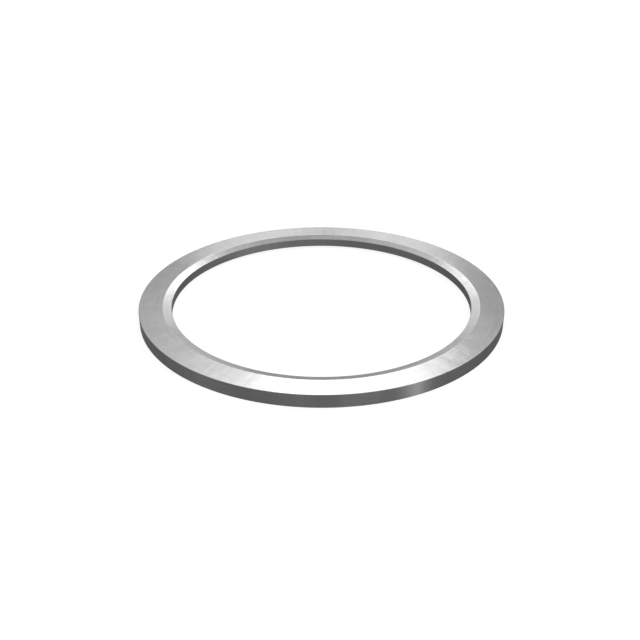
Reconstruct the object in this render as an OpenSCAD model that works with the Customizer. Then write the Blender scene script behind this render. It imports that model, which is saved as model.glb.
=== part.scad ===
// Flat metal ring gasket, turned in one piece.
// Its section is the same above and below: a wide flat sealing face, and a shallow bevel
// that falls from the face to the edge of the bore.
// The ring lies on its lower sealing face. Its axis is Z, and its origin is the ring's centre
// on that face.

/* [Ring] */
// Diameter of the bore
bore_d = 70; // [40:0.5:120]
// Radial width of the ring, from the bore out to the rim wall
ring_width = 7.5; // [5:0.25:15]
// Thickness between the two sealing faces
thickness = 3; // [2.5:0.1:8]

/* [Bore bevels] */
// Radial width of each bevel, from the bore out to the sealing face
bevel_width = 2; // [0.5:0.25:2.5]
// Slope of each bevel against its sealing face, in degrees
bevel_angle = 15; // [5:1:20]

/* [Edges] */
// Width of the break along the rim's two edges
rim_break = 0.1; // [0.05:0.05:0.3]
// Width of the break where each bevel meets the bore
bore_break = 0.1; // [0.05:0.05:0.2]

/* [Hidden] */

// Drawn facets around the ring
$fn = 360;

bore_r = bore_d / 2;
rim_r = bore_r + ring_width;
// Radius at which the sealing faces begin
face_inner_r = bore_r + bevel_width;

// Rise of a bevel over a radial distance
function bevel_rise(run) = run * tan(bevel_angle);

// Outline of the section's upper side, from the bore out to the rim wall
function upper_side() =
    let (bevel_foot_z = thickness - bevel_rise(bevel_width))
    [
        [bore_r, bevel_foot_z - bore_break],
        [bore_r + bore_break, bevel_foot_z + bevel_rise(bore_break)],
        [face_inner_r, thickness],
        [rim_r - rim_break, thickness],
        [rim_r, thickness - rim_break]
    ];

// The same outline turned over about mid thickness, from the rim wall in to the bore
function lower_side(upper) =
    [for (i = [len(upper) - 1 : -1 : 0]) [upper[i].x, thickness - upper[i].y]];

module ring_section() {
    upper = upper_side();
    polygon(concat(upper, lower_side(upper)));
}

module gasket_ring() {
    color("silver")
        rotate_extrude()
            ring_section();
}

gasket_ring();
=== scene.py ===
"""Flat turned ring gasket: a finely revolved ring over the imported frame, with its turned
finish, a pale floor, soft studio light and the camera. Metres, +Z up, in the ring's own frame."""
import math

import bpy
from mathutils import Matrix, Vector


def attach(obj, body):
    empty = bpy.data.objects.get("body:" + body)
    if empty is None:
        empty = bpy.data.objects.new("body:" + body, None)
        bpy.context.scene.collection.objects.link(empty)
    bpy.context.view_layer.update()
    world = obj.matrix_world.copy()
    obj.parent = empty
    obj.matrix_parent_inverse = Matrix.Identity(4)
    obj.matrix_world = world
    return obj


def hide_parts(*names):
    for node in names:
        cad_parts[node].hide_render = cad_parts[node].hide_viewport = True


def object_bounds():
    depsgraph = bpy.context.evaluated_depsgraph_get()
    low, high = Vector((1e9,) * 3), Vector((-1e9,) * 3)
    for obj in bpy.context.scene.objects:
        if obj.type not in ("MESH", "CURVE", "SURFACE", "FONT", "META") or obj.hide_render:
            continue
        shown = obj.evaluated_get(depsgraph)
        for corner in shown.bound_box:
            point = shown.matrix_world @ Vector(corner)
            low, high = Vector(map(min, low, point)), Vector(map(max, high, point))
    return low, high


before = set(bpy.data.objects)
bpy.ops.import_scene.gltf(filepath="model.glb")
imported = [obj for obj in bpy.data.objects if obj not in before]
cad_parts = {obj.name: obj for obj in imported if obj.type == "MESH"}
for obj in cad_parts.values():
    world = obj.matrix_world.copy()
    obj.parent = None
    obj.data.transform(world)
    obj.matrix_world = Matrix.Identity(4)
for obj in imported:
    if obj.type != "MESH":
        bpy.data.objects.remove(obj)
CAD_LOW, CAD_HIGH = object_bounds()

MM = 0.001
RING_NODE = "gasket_ring"
MICRON_DIGITS = 6  # decimals of a metre that give a thousandth of a millimetre

# Revolved mesh
SEGMENTS = 720
CORNER_STEPS = 6  # along the rounding of each corner of the section
BREAK_LIMIT = 0.5 * MM  # a side of the section shorter than this is an edge break
RIDGE_REACH = 0.05 * MM  # how far the ridge between face and bevel is softened
WALL_SLOPE = 0.6  # rise over run from which the surface has a wall's finish
UV_ROWS = 4  # the unrolled ring is laid out in this many strips
UV_GAP = 0.01  # of the map, between strips

# Camera, from the photograph's perspective, with its lens and sensor in millimetres
CAMERA_LENS = 48.74
CAMERA_SENSOR = 36.0
CAMERA_ELEVATION = math.radians(28.43)
CAMERA_DISTANCE = 206.1 * MM
AIM_RIGHT = -0.34 * MM  # how far the camera aims beside the frame's origin
AIM_UP = -3.09 * MM
CLIP_NEAR = 10 * MM

# Floor, in metres
FLOOR_HALF = 50.0
FLOOR_DROP = 0.02 * MM  # keeps the floor clear of the lower sealing face
FADE_FROM = 0.55  # beyond this distance the floor fades into the horizon's tone

# Light levels, at which a card renders about as its colour is written
HORIZON_LEVEL = 0.37
OVERHEAD_LEVEL = 0.87
OVERHEAD_FROM = 60  # degrees of elevation
FLOOR_GLOW = 0.82
FLOOR_SHADOW_SHARE = 0.25
FLOOR_COLOUR = 0.8

# Lamps: azimuth from +X towards +Y, elevation, half width, half height in degrees, and level
LAMP_DISTANCE = 6.0  # metres from the ring's centre
LAMPS = {
    "back_softbox": (87.0, 35.5, 6.2, 5.5, 3.1),
    "back_softbox_side": (98.0, 35.0, 3.5, 2.0, 1.1),
    "back_panel_left": (94.5, 23.0, 4.0, 17.0, 0.9),
    "back_panel_right": (84.5, 17.5, 4.0, 12.0, 0.9),
    "left_softbox": (103.5, 51.0, 4.0, 24.0, 0.55),
    "right_softbox": (65.0, 42.0, 10.5, 11.5, 0.6),
    "right_strip": (325.5, 20.0, 1.0, 18.0, 39.0),
    "front_panel": (292.0, 20.0, 12.0, 18.0, 1.2),
    "front_softbox": (255.0, 36.0, 9.0, 7.0, 2.2),
    "side_softbox": (192.0, 34.0, 9.0, 7.0, 2.0),
    "far_side_softbox": (8.0, 34.0, 8.0, 7.0, 1.4),
    "overhead_softbox": (20.0, 80.0, 9.0, 8.0, 0.5),
}

# Finishes: the share of light reflected face on, and what is left of it at grazing angles. The rim's
# and the bore's lower levels are painted shade: they are the same turned steel as the face, set
# darker so that the walls render dark.
FACE_FINISH = {"level": 0.362, "roughness": 0.20, "anisotropy": 0.0, "grazing": 1.0}
RIM_FINISH_AND_PAINTED_SHADE = {"level": 0.153, "roughness": 0.42, "anisotropy": 1.0, "grazing": 0.5}
BORE_FINISH_AND_PAINTED_SHADE = {"level": 0.206, "roughness": 0.75, "anisotropy": 0.85, "grazing": 0.5}
QUARTER_TURN = 0.25  # turns the anisotropy so that highlights spread across the marks

# Surface detail, in millimetres, with how many octaves finer each noise goes
FEED = 0.15  # the tool's travel in one turn
MARK_DEPTH = 0.0005
MARK_SIZE = 0.2
MARK_DETAIL = 3.0
WAVE_SIZE = 5.0
WAVE_DEPTH = 0.03
CHATTER_ANGLE = math.radians(2.3)  # round the ring, of the faint streaks across the marks
CHATTER_LENGTH = 12.0
CHATTER_DEPTH = 0.012
MOTTLE_SIZE = 7.0
MOTTLE_DETAIL = 4.0
WEAR_WIDTH = 0.15  # of the bright line along an edge
WEAR_SPOT = 0.8

# Share by which each detail changes the colour, and steps by which it changes the roughness
MOTTLE_SHADE = 0.20
CHATTER_SHADE = 0.16
MARK_SHADE = 0.3
WEAR_SHADE = 0.25
MOTTLE_ROUGHNESS = 0.06
MARK_ROUGHNESS = 0.04


def section_corners(node):
    """(radius, height) of each corner of the node's section, in order around it."""
    found = set()
    for vertex in node.data.vertices:
        x, y, z = vertex.co
        found.add((round(math.hypot(x, y), MICRON_DIGITS), round(z, MICRON_DIGITS)))
    mid_r = sum(r for r, z in found) / len(found)
    mid_z = sum(z for r, z in found) / len(found)
    return sorted(found, key=lambda c: math.atan2(c[1] - mid_z, c[0] - mid_r))


def neighbours(items):
    """Each item with the next one, and the last with the first."""
    return zip(items, items[1:] + items[:1])


def long_sides(corners):
    """The section's sides without its edge breaks, each a pair of ends, in order."""
    return [(Vector(a), Vector(b)) for a, b in neighbours(corners)
            if math.dist(a, b) > BREAK_LIMIT]


def meeting_point(a, b, c, d):
    """Where the line through a and b meets the line through c and d."""
    along, other = b - a, d - c
    share = (c - a).cross(other) / along.cross(other)
    return a + along * share


def rounded_corner(side, after):
    """Points and outward normals over the corner between two sides of the section."""
    start, end = side[1], after[0]
    if (end - start).length > 0:
        tip = meeting_point(*side, *after)
    else:
        tip = start
        start = tip - (side[1] - side[0]).normalized() * RIDGE_REACH
        end = tip + (after[1] - after[0]).normalized() * RIDGE_REACH
    points = []
    for step in range(CORNER_STEPS + 1):
        t = step / CORNER_STEPS
        place = start * (1 - t) ** 2 + tip * 2 * t * (1 - t) + end * t**2
        along = ((tip - start) * (1 - t) + (end - tip) * t).normalized()
        points.append((place, Vector((along.y, -along.x))))
    return points


def section_profile(corners):
    """The whole section, anticlockwise, as points with outward normals."""
    profile = []
    for side, after in neighbours(long_sides(corners)):
        profile += rounded_corner(side, after)
    return profile


def revolve(name, profile):
    """A closed ring mesh from the profile, with exact normals."""
    count = len(profile)
    points, normals, faces = [], [], []
    for segment in range(SEGMENTS):
        turn = 2 * math.pi * segment / SEGMENTS
        c, s = math.cos(turn), math.sin(turn)
        for place, normal in profile:
            points.append((place.x * c, place.x * s, place.y))
            normals.append((normal.x * c, normal.x * s, normal.y))
        for i in range(count):
            here, there = segment * count, (segment + 1) % SEGMENTS * count
            j = (i + 1) % count
            faces.append((here + i, there + i, there + j, here + j))
    mesh = bpy.data.meshes.new(name)
    mesh.from_pydata(points, [], faces)
    mesh.shade_smooth()
    mesh.normals_split_custom_set_from_vertices(normals)
    return mesh


def unroll(mesh, profile):
    """A map of the ring, cut into equal strips that lie straight, one above the other."""
    count = len(profile)
    travelled = [0.0]
    for (a, _), (b, _) in neighbours(profile):
        travelled.append(travelled[-1] + (b - a).length)
    per_row = SEGMENTS // UV_ROWS
    layer = mesh.uv_layers.new(name="OFBake")
    for face in mesh.polygons:
        segment, i = divmod(face.index, count)
        row, column = divmod(segment, per_row)
        low, high = travelled[i], travelled[i + 1]
        ends = ((column, low), (column + 1, low), (column + 1, high), (column, high))
        for loop, (across, up) in zip(face.loop_indices, ends):
            u = UV_GAP + (1 - 2 * UV_GAP) * across / per_row
            v = UV_GAP + (1 / UV_ROWS - 2 * UV_GAP) * up / travelled[-1]
            layer.data[loop].uv = (u, v + row / UV_ROWS)


def share_out_materials(mesh, profile):
    """Faces and bevels keep the first material; what is steeper gets the rim's or the bore's, darker
    copies of it that carry painted shade.
    """
    count = len(profile)
    middle = sum(place.x for place, normal in profile) / count
    for face in mesh.polygons:
        i = face.index % count
        a, b = profile[i][0], profile[(i + 1) % count][0]
        if abs(a.y - b.y) > abs(a.x - b.x) * WALL_SLOPE:
            face.material_index = 1 if a.x > middle else 2


def grey(level):
    return (level, level, level, 1)


class Nodes:
    """Short calls for building one material's nodes."""

    def __init__(self, name):
        self.material = bpy.data.materials.new(name)
        self.material.use_nodes = True
        self.tree = self.material.node_tree
        self.tree.nodes.clear()

    def add(self, kind, **values):
        node = self.tree.nodes.new(kind)
        for key, value in values.items():
            setattr(node, key, value)
        return node

    def put(self, value, socket):
        """Sets the socket to a number or colour, or links it to another node's socket."""
        if isinstance(value, bpy.types.NodeSocket):
            self.tree.links.new(value, socket)
        else:
            socket.default_value = value

    def maths(self, operation, *values):
        node = self.add("ShaderNodeMath", operation=operation)
        for value, socket in zip(values, node.inputs):
            self.put(value, socket)
        return node.outputs[0]

    def total(self, first, *rest):
        for value in rest:
            first = self.maths("ADD", first, value)
        return first

    def swing(self, share, amount):
        """Takes a share from 0 to 1 to a value from minus half the amount to plus half."""
        return self.maths("MULTIPLY", self.maths("SUBTRACT", share, 0.5), amount)

    def noise(self, place, size, detail=2.0):
        """Noise whose features are about the given size, in the place's unit."""
        node = self.add("ShaderNodeTexNoise")
        self.put(place, node.inputs["Vector"])
        self.put(1 / size, node.inputs["Scale"])
        self.put(detail, node.inputs["Detail"])
        return node.outputs["Fac"]

    def finish(self, shader):
        output = self.add("ShaderNodeOutputMaterial")
        self.put(shader, output.inputs["Surface"])
        return self.material


def places(n):
    """The point, its radius and height in millimetres, and its angle round the axis."""
    point = n.add("ShaderNodeVectorMath", operation="SCALE")
    n.put(n.add("ShaderNodeTexCoord").outputs["Object"], point.inputs[0])
    n.put(1 / MM, point.inputs["Scale"])
    split = n.add("ShaderNodeSeparateXYZ")
    n.put(point.outputs[0], split.inputs[0])
    x, y, height = split.outputs
    radius = n.maths("SQRT", n.maths("ADD", n.maths("MULTIPLY", x, x), n.maths("MULTIPLY", y, y)))
    return point.outputs[0], radius, height, n.maths("ARCTAN2", y, x)


def turning_marks(n, across, angle):
    """Height, from 0 to 1, of the spiral that the tool leaves, and of the uneven marks in it."""
    turns = n.maths("MULTIPLY_ADD", across, 2 * math.pi / FEED, angle)
    spiral = n.maths("MULTIPLY_ADD", n.maths("SINE", turns), 0.5, 0.5)
    place = n.add("ShaderNodeCombineXYZ")
    n.put(across, place.inputs[0])
    n.put(n.maths("SINE", angle), place.inputs[1])
    n.put(n.maths("COSINE", angle), place.inputs[2])
    return spiral, n.noise(place.outputs[0], MARK_SIZE, MARK_DETAIL)


def chatter(n, across, angle):
    """Faint streaks that lie across the marks, from 0 to 1."""
    # The place is measured in streaks, so each is about 1 long and 1 wide
    place = n.add("ShaderNodeCombineXYZ")
    n.put(n.maths("DIVIDE", n.maths("SINE", angle), CHATTER_ANGLE), place.inputs[0])
    n.put(n.maths("DIVIDE", n.maths("COSINE", angle), CHATTER_ANGLE), place.inputs[1])
    n.put(n.maths("DIVIDE", across, CHATTER_LENGTH), place.inputs[2])
    return n.noise(place.outputs[0], 1.0)


def edge_wear(n, across, edges, point):
    """Up to 1 on an edge, falling to 0 beside it, broken up along its length."""
    near = 0.0
    for edge in edges:
        away = n.maths("ABSOLUTE", n.maths("SUBTRACT", across, edge / MM))
        near = n.maths("MAXIMUM", near, n.maths("SUBTRACT", 1.0, n.maths("DIVIDE", away, WEAR_WIDTH)))
    return n.maths("MULTIPLY", near, n.noise(point, WEAR_SPOT))


def turned_metal(name, finish, marks_across, edges):
    """Lathe-turned steel. The marks follow one another along the radius or the height, and the
    edges, at radii or heights too, are worn."""
    n = Nodes(name)
    point, radius, height, angle = places(n)
    across = radius if marks_across == "radius" else height
    spiral, marks = turning_marks(n, across, angle)
    mottle = n.noise(point, MOTTLE_SIZE, MOTTLE_DETAIL)
    streaks = chatter(n, across, angle)
    wear = edge_wear(n, across, edges, point)

    shade = n.total(1.0, n.swing(mottle, MOTTLE_SHADE), n.swing(streaks, CHATTER_SHADE),
                    n.swing(marks, MARK_SHADE), n.maths("MULTIPLY", wear, WEAR_SHADE))
    # The colour is the finish's level times the tone; for the rim and the bore that level is lowered
    # as painted shade.
    colour = n.add("ShaderNodeCombineColor")
    for socket in colour.inputs[:3]:
        n.put(n.maths("MULTIPLY", shade, finish["level"]), socket)
    rough = n.total(finish["roughness"], n.swing(mottle, MOTTLE_ROUGHNESS),
                    n.swing(marks, MARK_ROUGHNESS))

    relief = n.total(n.maths("MULTIPLY", spiral, MARK_DEPTH), n.maths("MULTIPLY", marks, MARK_DEPTH),
                     n.maths("MULTIPLY", streaks, CHATTER_DEPTH),
                     n.maths("MULTIPLY", n.noise(point, WAVE_SIZE), WAVE_DEPTH))
    bump = n.add("ShaderNodeBump")
    n.put(relief, bump.inputs["Height"])
    n.put(MM, bump.inputs["Distance"])

    shader = n.add("ShaderNodeBsdfPrincipled")
    n.put(colour.outputs[0], shader.inputs["Base Color"])
    n.put(1.0, shader.inputs["Metallic"])
    n.put(rough, shader.inputs["Roughness"])
    n.put(grey(finish["grazing"]), shader.inputs["Specular Tint"])
    n.put(bump.outputs[0], shader.inputs["Normal"])
    if finish["anisotropy"]:
        n.put(finish["anisotropy"], shader.inputs["Anisotropic"])
        n.put(QUARTER_TURN, shader.inputs["Anisotropic Rotation"])
        tangent = n.add("ShaderNodeTangent", direction_type="RADIAL", axis="Z")
        n.put(tangent.outputs[0], shader.inputs["Tangent"])
    return n.finish(shader.outputs[0])


def floor_finish():
    """Pale floor. Seen directly or in the metal it glows up to white, and keeps the shadow.
    Far off it fades into the horizon."""
    n = Nodes("pale_floor")
    card = n.add("ShaderNodeBsdfDiffuse")
    n.put(grey(FLOOR_COLOUR), card.inputs["Color"])
    shadow = n.add("ShaderNodeBsdfDiffuse")
    n.put(grey(FLOOR_SHADOW_SHARE), shadow.inputs["Color"])
    away = n.add("ShaderNodeVectorMath", operation="LENGTH")
    n.put(n.add("ShaderNodeTexCoord").outputs["Object"], away.inputs[0])
    near = n.maths("MINIMUM", n.maths("DIVIDE", FADE_FROM, away.outputs["Value"]), 1.0)
    glow = n.add("ShaderNodeEmission")
    n.put(FLOOR_GLOW, glow.inputs["Strength"])
    white = n.add("ShaderNodeAddShader")
    n.put(shadow.outputs[0], white.inputs[0])
    n.put(glow.outputs[0], white.inputs[1])
    horizon = n.add("ShaderNodeEmission")
    n.put(HORIZON_LEVEL, horizon.inputs["Strength"])
    fading = n.add("ShaderNodeMixShader")
    n.put(near, fading.inputs[0])
    n.put(horizon.outputs[0], fading.inputs[1])
    n.put(white.outputs[0], fading.inputs[2])
    path = n.add("ShaderNodeLightPath")
    seen = n.maths("MAXIMUM", path.outputs["Is Camera Ray"], path.outputs["Is Glossy Ray"])
    seen = n.maths("MAXIMUM", seen, path.outputs["Is Transmission Ray"])
    mix = n.add("ShaderNodeMixShader")
    n.put(seen, mix.inputs[0])
    n.put(card.outputs[0], mix.inputs[1])
    n.put(fading.outputs[0], mix.inputs[2])
    return n.finish(mix.outputs[0])


def link(name, data):
    made = bpy.data.objects.new(name, data)
    bpy.context.scene.collection.objects.link(made)
    return made


def make_ring():
    corners = section_corners(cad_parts[RING_NODE])
    profile = section_profile(corners)
    mesh = revolve("turned_ring", profile)
    unroll(mesh, profile)
    share_out_materials(mesh, profile)
    bore_radius = min(r for r, z in corners)
    rim_radius = max(r for r, z in corners)
    face_edges = [bore_radius, rim_radius]
    mesh.materials.append(turned_metal("turned_face", FACE_FINISH, "radius", face_edges))
    # The rim's and the bore's materials are darker copies of the face's turned steel; their darkness
    # is painted shade.
    rim_edges = [z for r, z in corners if r == rim_radius]
    mesh.materials.append(turned_metal("turned_rim_painted_shade", RIM_FINISH_AND_PAINTED_SHADE, "height", rim_edges))
    bore_edges = [z for r, z in corners if r == bore_radius]
    mesh.materials.append(turned_metal("bored_wall_painted_shade", BORE_FINISH_AND_PAINTED_SHADE, "height", bore_edges))
    ring = link("turned_ring", mesh)
    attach(ring, "root")
    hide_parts(RING_NODE)


def make_floor():
    side = FLOOR_HALF
    mesh = bpy.data.meshes.new("floor")
    corners = [(-side, -side, 0), (side, -side, 0), (side, side, 0), (-side, side, 0)]
    mesh.from_pydata(corners, [], [(0, 1, 2, 3)])
    mesh.materials.append(floor_finish())
    floor = link("floor", mesh)
    floor.location.z = CAD_LOW.z - FLOOR_DROP


def make_world():
    """A plain room that brightens from the horizon up."""
    world = bpy.data.worlds.new("studio")
    world.use_nodes = True
    tree = world.node_tree
    way = tree.nodes.new("ShaderNodeTexCoord").outputs["Generated"]
    split = tree.nodes.new("ShaderNodeSeparateXYZ")
    tree.links.new(way, split.inputs[0])
    rise = tree.nodes.new("ShaderNodeMapRange")
    tree.links.new(split.outputs["Z"], rise.inputs["Value"])
    rise.inputs["From Max"].default_value = math.sin(math.radians(OVERHEAD_FROM))
    rise.inputs["To Min"].default_value = HORIZON_LEVEL
    rise.inputs["To Max"].default_value = OVERHEAD_LEVEL
    background = tree.nodes["Background"]
    background.inputs["Color"].default_value = grey(1)
    tree.links.new(rise.outputs[0], background.inputs["Strength"])
    bpy.context.scene.world = world


def make_lamp(name, azimuth, elevation, half_width, half_height, level):
    """A soft rectangular lamp that faces the ring and shows at the given level in a mirror."""
    azimuth, elevation = math.radians(azimuth), math.radians(elevation)
    way = Vector((math.cos(elevation) * math.cos(azimuth),
                  math.cos(elevation) * math.sin(azimuth),
                  math.sin(elevation)))
    light = bpy.data.lights.new(name, "AREA")
    light.shape = "RECTANGLE"
    light.size = 2 * LAMP_DISTANCE * math.tan(math.radians(half_width))
    light.size_y = 2 * LAMP_DISTANCE * math.tan(math.radians(half_height))
    light.energy = level * math.pi * light.size * light.size_y
    lamp = link(name, light)
    lamp.location = way * LAMP_DISTANCE
    lamp.rotation_euler = way.to_track_quat("Z", "Y").to_euler()
    lamp.visible_camera = False


def make_camera():
    right = Vector((1, 0, 0))
    up = Vector((0, math.sin(CAMERA_ELEVATION), math.cos(CAMERA_ELEVATION)))
    ahead = Vector((0, math.cos(CAMERA_ELEVATION), -math.sin(CAMERA_ELEVATION)))
    camera_data = bpy.data.cameras.new("camera")
    camera_data.lens = CAMERA_LENS
    camera_data.sensor_width = CAMERA_SENSOR
    camera_data.clip_start = CLIP_NEAR
    camera = link("camera", camera_data)
    camera.location = right * AIM_RIGHT + up * AIM_UP - ahead * CAMERA_DISTANCE
    camera.rotation_euler = (math.pi / 2 - CAMERA_ELEVATION, 0, 0)
    bpy.context.scene.camera = camera


make_ring()
make_floor()
make_world()
for lamp_name, lamp_values in LAMPS.items():
    make_lamp(lamp_name, *lamp_values)
make_camera()
bpy.context.scene.view_settings.view_transform = "Standard"
